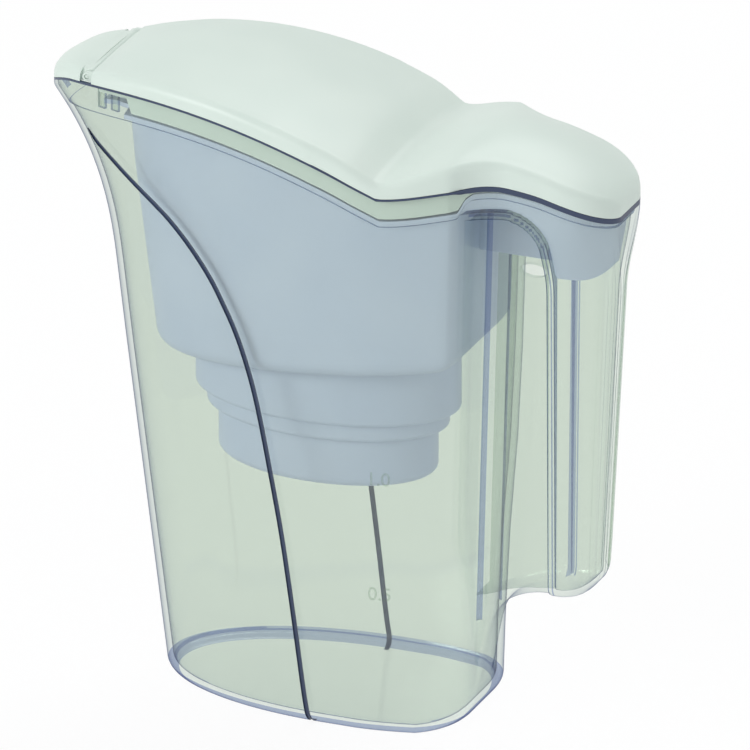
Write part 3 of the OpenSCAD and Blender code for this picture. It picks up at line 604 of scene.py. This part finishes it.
def wellForm(name, inset, curl):
    r = tank["wellWidth"] / 2 - inset; low = tank["wellZ"] + inset; seat = tank["seatZ"] + inset
    w, h, foot = tank["stepWidth"], tank["stepHeight"], tank["wellRound"]
    quarter = [math.pi / 2 * i / 6 for i in range(7)]
    turns = quarter if curl else [0, math.pi / 2]
    side = [(r - foot * (1 - math.sin(a)), low + foot * (1 - math.cos(a))) for a in quarter]
    side += [(r + w * math.sin(a), seat - curl * math.cos(a)) for a in turns]
    side += [(r + w * (1 + math.sin(a)), seat + h - curl * math.cos(a)) for a in turns]
    side += [(r + 2 * w, tank["z"] + 10)]
    stretch = tank["wellLength"] / tank["wellWidth"]
    circle = [2 * math.pi * i / 96 for i in range(96)]
    rings = [[(tank["wellX"] + stretch * q * math.cos(t), q * math.sin(t), z) for t in circle] for q, z in side]
    return ringStack(name, rings)


def tailForm(name, inset):
    # the part of the reservoir that reaches back into the top of the handle
    wall = jug["wall"] + tank["tailGap"] + inset
    form = recessCut(gripForm(name, wall, start=handle["collarZ"]), wall)
    neckZ = handle["eyeZ"] + handle["eyeHeight"] / 2 + 1.4; low = 203
    x0, top, end = backX(231) - 12, 252.6 - inset, jug["tail"]
    pts = [(x0 + inset, top), (x0 + inset, neckZ + inset), (97, neckZ + inset), (101, low + inset)]
    pts += [(bezier(end - 18, end - 4, end, t / 10) - inset, bezier(low, low, low + 18, t / 10) + inset) for t in range(11)]
    pts += [(end - inset, top)]
    return combine(form, plate("room", pts), "INTERSECT")


def roundSlot(x, y0, y1, z0, z1, width):
    # a slot with round ends, across the length
    r = width / 2
    pts = [(x + r * math.cos(math.pi * i / 10), y1 + r * math.sin(math.pi * i / 10)) for i in range(11)]
    pts += [(x + r * math.cos(math.pi * i / 10), y0 + r * math.sin(math.pi * i / 10)) for i in range(10, 21)]
    return ringStack("slot", [[(px, py, z) for px, py in pts] for z in (z0, z1)])


def frontPlate(x): return plate("front", [(-140, 180), (x, 180), (x, 300), (-140, 300)])


def buildReservoir():
    piece = tankForm("frostedReservoir", 0)
    combine(piece, wellForm("well", 0, tank["stepWidth"]), "UNION")
    slots = []
    for i in range(-4, 5):
        reach = (tank["wellWidth"] / 2 - 13) * math.cos(math.radians(i * 14))
        slots.append(roundSlot(tank["wellX"] + i * 9, -reach, reach, 98.5, 107.5, 3))
    pick(slots[0])
    for slot in slots[1:]: slot.select_set(True)
    bpy.ops.object.join()
    combine(piece, slots[0], "DIFFERENCE")
    combine(piece, tailForm("tail", 0), "UNION")
    rest = tank["seatGap"]      # the flange rests this far above the ledge
    drop = aboveRim("drop", jug["ledgeDrop"] - rest, jug["tailLedgeDrop"] - rest)
    deck = combine(topForm("deck", jug["wall"] - jug["ledge"] + tank["gap"] / 2), drop, "INTERSECT")
    combine(deck, frontPlate(tank["tongue"]), "DIFFERENCE")
    for side in (-1, 1):
        corner = [(x, y * side) for x, y in tongueCorner][::-side]
        combine(deck, ringStack("corner", [[(x, y, z) for x, y in corner] for z in (180, 300)]), "DIFFERENCE")
        y = sorted((5 * side, 14 * side))
        combine(deck, roundSlot(tank["tongue"] + 4, y[0], y[1], 236, 276, tank["slot"]), "DIFFERENCE")
    combine(piece, deck, "UNION")
    combine(piece, tankForm("room", tank["wall"]), "DIFFERENCE")
    combine(piece, wellForm("room", tank["wall"], 0), "DIFFERENCE")
    combine(piece, tailForm("room", tank["wall"]), "DIFFERENCE")
    top = rest + tank["flange"]
    combine(piece, aboveRim("top", jug["ledgeDrop"] - top, jug["tailLedgeDrop"] - top), "DIFFERENCE")
    piece = keepMain(piece)
    return cleanUp(piece, 30)


# the lid and its spout flap
lid = {"wall": 2.2, "edge": 4.2, "dome": 4.1, "gap": 0.2, "hingeX": -102.8, "bead": 2.6, "pin": 1.0, "skirtIn": 2.5,
       "skirtDrop": 3.4, "skirtDeep": 9.6, "skirtWall": 1.4, "tabWidth": 4, "tabLength": 12.5, "tabThick": 1.4}
hingeZ = rimZ(lid["hingeX"] + 3.1) + lid["gap"] + 0.75 + 1.08      # over the rim: gap, ear wall, bore
edgeHeights = [(-127.3, 6.4), (-115, 6), (-105, 5), (-99, 5.2), (-93, 5.8), (-81, 6.5), (-70, 7.2), (-35, 8),
               (20, 8), (28, 7.2), (33, 6.6), (37, 6.8), (42, 7.6), (50, 9.4), (58, 10.6), (67, 11.2), (86, 10),
               (104, 9), (117, 8.5), (127.3, 8)]
domeShares = [(-127.3, 0.1), (-118, 0.3), (-106, 0.12), (-99, 0.12), (-90, 0.5), (-78, 0.8), (-35, 1), (15, 0.9),
              (36, 0.7), (55, 0.95), (70, 1.1), (100, 1), (120, 0.6), (127.3, 0.2)]


def endRound(x):
    r = lid["edge"]; d = clamp(min(x - jug["tip"], jug["tail"] - x), 0, r)
    return r - math.sqrt(r * r - (r - d) ** 2)
def edgeHeight(x): return softTable(x, edgeHeights) - endRound(x)
def domeHeight(x): return lid["dome"] * softTable(x, domeShares)


def lidSection(x, half, inset):
    # the lid cut across the length: side, rounded edge and crown; the inside runs on below the skirt
    w = max(half - inset, 1.2)
    low = rimZ(x) + (-lid["skirtDeep"] - 2.4 if inset else lid["gap"])
    top = rimZ(x) + edgeHeight(x) - inset
    r = max(min(lid["edge"] - inset, edgeHeight(x) - 1.2, w * 0.8), 0.2)
    pts = [(low, w), (max(top - r, low + 0.1), w)]
    turns = [math.pi / 2 * i / 9 for i in range(1, 10)]
    pts += [(max(top - r + r * math.sin(a), low + 0.2), w - r * (1 - math.cos(a))) for a in turns]
    pts += [(top + domeHeight(x) * (1 - t * t), (w - r) * t) for t in [1 - i / 14 for i in range(1, 15)]]
    return [(x, y, z) for z, y in pts] + [(x, -y, z) for z, y in pts[-2::-1]]


def rimBlock(name, start, inset):
    # the plan of the rim drawn in by inset, as a block
    line = [(x, rimHalf(x)) for x in spread(start - 8, 60, 2.5) + spread(61, jug["tail"], 1.1)]
    half = []
    for i, (x, y) in enumerate(line):
        a, b = line[max(i - 1, 0)], line[min(i + 1, len(line) - 1)]
        dx, dy = b[0] - a[0], b[1] - a[1]; d = math.hypot(dx, dy)
        half.append((min(x + dy / d * inset, jug["tail"] - inset), y - dx / d * inset))
    return ringStack(name, [[(x, y, z) for x, y in bothSides(half)] for z in (210, 290)])


def buildLid():
    start = lid["hingeX"] + lid["bead"] + 0.5
    end, turns = jug["tail"], [math.pi / 2 * i / 8 for i in range(1, 9)]
    places = spread(start, 123, 2.2) + [end - lid["edge"] * (1 - math.sin(a)) for a in turns]
    outer = ringStack("pitcherLid", [lidSection(x, rimHalf(x), 0) for x in places])
    places = [start + lid["wall"]] + spread(start + 4, 123, 3) + [end - lid["wall"]]
    inner = ringStack("under", [lidSection(x, rimHalf(x), lid["wall"]) for x in places])
    bandIn = lid["skirtIn"]
    low = aboveRim("low", lid["skirtDeep"], lid["skirtDrop"], lid["skirtDrop"])
    skirt = combine(rimBlock("skirt", start, bandIn), low, "INTERSECT")
    combine(skirt, aboveRim("high", -0.5, -0.5), "DIFFERENCE")
    combine(skirt, frontPlate(start + lid["wall"] + 0.6), "DIFFERENCE")
    combine(outer, skirt, "UNION")
    room = combine(inner, rimBlock("room", start, bandIn + lid["skirtWall"]), "INTERSECT")
    combine(outer, room, "DIFFERENCE")
    for x in (start + 4.4, start + 11.4):
        z = rimZ(x) - 10.5
        slope = (frontHalf(x + 2, z, bandIn) - frontHalf(x - 2, z, bandIn)) / 4
        for side in (-1, 1):
            deselectAll()
            bpy.ops.mesh.primitive_cube_add(size=1)
            tab = bpy.context.object
            tab.scale = (lid["tabWidth"] * mm, lid["tabThick"] * mm, lid["tabLength"] * mm)
            tab.rotation_euler = (0, 0, side * math.atan(slope))
            tab.location = (x * mm, side * (frontHalf(x, z, bandIn) - 1.1) * mm, (z + lid["tabLength"] / 2) * mm)
            applyAll(tab)
            combine(outer, tab, "UNION")
    outer = keepMain(outer)
    cleanUp(outer, 34)
    slotMaterials(outer, lidPlastic, clearPlastic, edgeShadePlastic)
    for face in outer.data.polygons:
        x, y, z = face.center / mm
        if x < start + 16 and z < rimZ(x) - lid["skirtDrop"] - 0.1:      # the tabs look clear, with painted shade on their rims
            face.material_index = 1 if abs(face.normal.y) > 0.6 else 2
    return outer


def beadEnd():
    return frontHalf(lid["hingeX"], rimZ(lid["hingeX"]), 0) - jug["wall"] - 1


def buildFlap():
    full = lid["hingeX"] - lid["bead"] - 0.8
    def flapHalf(x, back):
        w = frontHalf(x, rimZ(x), 0)
        return min(w, beadEnd()) if x > full - back + 0.05 else w
    tip, edge = jug["tip"], lid["edge"]
    places = [tip + edge * (1 - math.cos(math.radians(d))) for d in (4, 12, 22, 34, 48, 62, 76)]
    places += spread(tip + edge, full, 1.6) + [full + 0.1, lid["hingeX"]]
    outer = ringStack("spoutFlap", [lidSection(x, flapHalf(x, 0), 0) for x in places])
    places = [tip + lid["wall"]] + spread(tip + 4, full - 0.5, 2) + [full - 0.4, lid["hingeX"] - lid["bead"]]
    inner = ringStack("under", [lidSection(x, flapHalf(x, 0.5), lid["wall"]) for x in places])
    combine(outer, inner, "DIFFERENCE")
    for radius, length in ((lid["bead"], beadEnd()), (lid["pin"], beadEnd() + 2.4)):
        deselectAll()
        bpy.ops.mesh.primitive_cylinder_add(vertices=48, radius=radius * mm, depth=2 * length * mm,
                                            location=(lid["hingeX"] * mm, 0, hingeZ * mm), rotation=(math.pi / 2, 0, 0))
        rod = bpy.context.object
        bpy.ops.object.mode_set(mode="EDIT"); bpy.ops.mesh.select_mode(type="EDGE")
        bpy.ops.mesh.select_all(action="DESELECT"); bpy.ops.object.mode_set(mode="OBJECT")
        for e in rod.data.edges:
            a, b = (rod.data.vertices[i].co for i in e.vertices); e.select = abs(a.z - b.z) < 1e-6
        bpy.ops.object.mode_set(mode="EDIT"); bpy.ops.mesh.bevel(offset=0.4 * mm, segments=3)
        bpy.ops.object.mode_set(mode="OBJECT")
        applyAll(rod)
        combine(outer, rod, "UNION")
    return cleanUp(outer, 34)


def stand(piece, node, body, finish=None):
    # the piece takes the node's place and moves with its body
    if finish: slotMaterials(piece, finish)
    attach(piece, body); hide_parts(node)
    return piece


clearJug = stand(buildJug(), "jug", "jug")
print("stage: jug built")
frostedReservoir = stand(buildReservoir(), "reservoir", "reservoir", frostedPlastic)
print("stage: reservoir built")
pitcherLid = stand(buildLid(), "lid", "lid")
print("stage: lid built")
spoutFlap = stand(buildFlap(), "spout_flap", "flap", lidPlastic)
print("stage: flap built")
kept = {"cartridge_shell": cartridgePlastic, "cartridge_cap": cartridgePlastic, "cartridge_seal": sealSilicone,
        "upper_screen": nylonGauze, "lower_screen": nylonGauze, "filter_media": filterGranules, "hinge_ears": lidPlastic}
for node, finish in kept.items(): slotMaterials(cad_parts[node], finish)


# the raised figures of the scale on the near wall, with their heights
scale = {"x": 35, "height": 6.2, "raise": 0.35, "marks": (("0.5", 59.5), ("1.0", 111.5))}


def wallTurn(x, z): return (sideHalf(x + 2, z, 0) - sideHalf(x - 2, z, 0)) / 4


for words, z in scale["marks"]:
    deselectAll()
    bpy.ops.object.text_add()
    figure = bpy.context.object
    figure.data.body = words; figure.data.size = scale["height"] * mm * 1.35; figure.data.align_x = "CENTER"
    figure.data.extrude = scale["raise"] / 2 * mm
    bpy.ops.object.convert(target="MESH")
    figure = bpy.context.object; figure.name = "figure" + words.replace(".", "_")
    figure.rotation_euler = (math.pi / 2, 0, -math.atan(wallTurn(scale["x"], z)))
    out = sideHalf(scale["x"], z, 0) + scale["raise"] / 2 - 0.1
    figure.location = (scale["x"] * mm, -out * mm, (z + 1.6) * mm)
    applyAll(figure)
    slotMaterials(figure, clearPlastic)
    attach(figure, "jug")


# strengths of the studio's sky, floor and lamps
studio = {"world": 0.66, "floorWhite": 0.9, "key": 30, "fill": 4, "back": 17}


def whiteWhenSeen(tree):
    path = addNode(tree, "ShaderNodeLightPath").outputs
    seen = mathNode(tree, "MAXIMUM", path["Is Camera Ray"], path["Is Glossy Ray"])
    return mathNode(tree, "MAXIMUM", seen, path["Is Transmission Ray"])


world = bpy.data.worlds.new("studio"); bpy.context.scene.world = world; world.use_nodes = True
air = world.node_tree; air.nodes.clear()
plain = addNode(air, "ShaderNodeBackground", {}, {"Color": (0.97, 0.985, 1, 1), "Strength": studio["world"]})
white = addNode(air, "ShaderNodeBackground", {}, {"Color": (1, 1, 1, 1), "Strength": 1.0})
both = mixed(air, whiteWhenSeen(air), plain, white)
addNode(air, "ShaderNodeOutputWorld", {}, {"Surface": both.outputs[0]})

deselectAll()
bpy.ops.mesh.primitive_plane_add(size=6, location=(0, 0, -0.0004))
floor = bpy.context.object; floor.name = "paleFloor"
paper, tree = newFinish("whitePaper")
matte = addNode(tree, "ShaderNodeBsdfDiffuse", {}, {"Color": (0.9, 0.9, 0.9, 1)})
glow = addNode(tree, "ShaderNodeEmission", {}, {"Color": (1, 1, 1, 1), "Strength": 1.0})
toSurface(tree, mixed(tree, mathNode(tree, "MULTIPLY", whiteWhenSeen(tree), studio["floorWhite"]), matte, glow))
floor.data.materials.append(paper)


def softLamp(name, place, aim, size, power):
    lamp = bpy.data.lights.new(name, "AREA"); lamp.shape = "DISK"; lamp.size = size; lamp.energy = power
    thing = bpy.data.objects.new(name, lamp); bpy.context.collection.objects.link(thing)
    thing.location = place
    thing.rotation_euler = (Vector(aim) - Vector(place)).to_track_quat("-Z", "Y").to_euler()
    return thing


softLamp("keyLamp", (-1.5, -1.9, 1.15), (0, 0, 0.14), 1.3, studio["key"])
softLamp("fillLamp", (1.6, -0.9, 0.9), (0, 0, 0.12), 1.2, studio["fill"])
softLamp("backLamp", (0.1, 1.2, 2.1), (0, 0, 0.2), 1.4, studio["back"])

view = {"azimuth": 22.3, "elevation": 22.7, "distance": 8.0, "pixelsPerMm": 2.42, "aim": (14.4, 0, 141.2)}
az, el = math.radians(view["azimuth"]), math.radians(view["elevation"])
aim = Vector(view["aim"]) * mm
away = Vector((math.sin(az) * math.cos(el), -math.cos(az) * math.cos(el), math.sin(el)))
cameraData = bpy.data.cameras.new("photoCamera")
cameraData.sensor_width = 36; cameraData.sensor_fit = "AUTO"
cameraData.lens = 36 * view["pixelsPerMm"] * view["distance"] * 1000 / 750
cameraData.clip_start = 0.1; cameraData.clip_end = 60
camera = bpy.data.objects.new("photoCamera", cameraData); bpy.context.collection.objects.link(camera)
camera.location = aim + away * view["distance"]
camera.rotation_euler = (-away).to_track_quat("-Z", "Y").to_euler()
bpy.context.scene.camera = camera
bpy.context.scene.view_settings.view_transform = "Standard"
bpy.context.scene.cycles.transparent_max_bounces = 32      # the handle has up to a dozen clear faces in line

print("stage: all built")
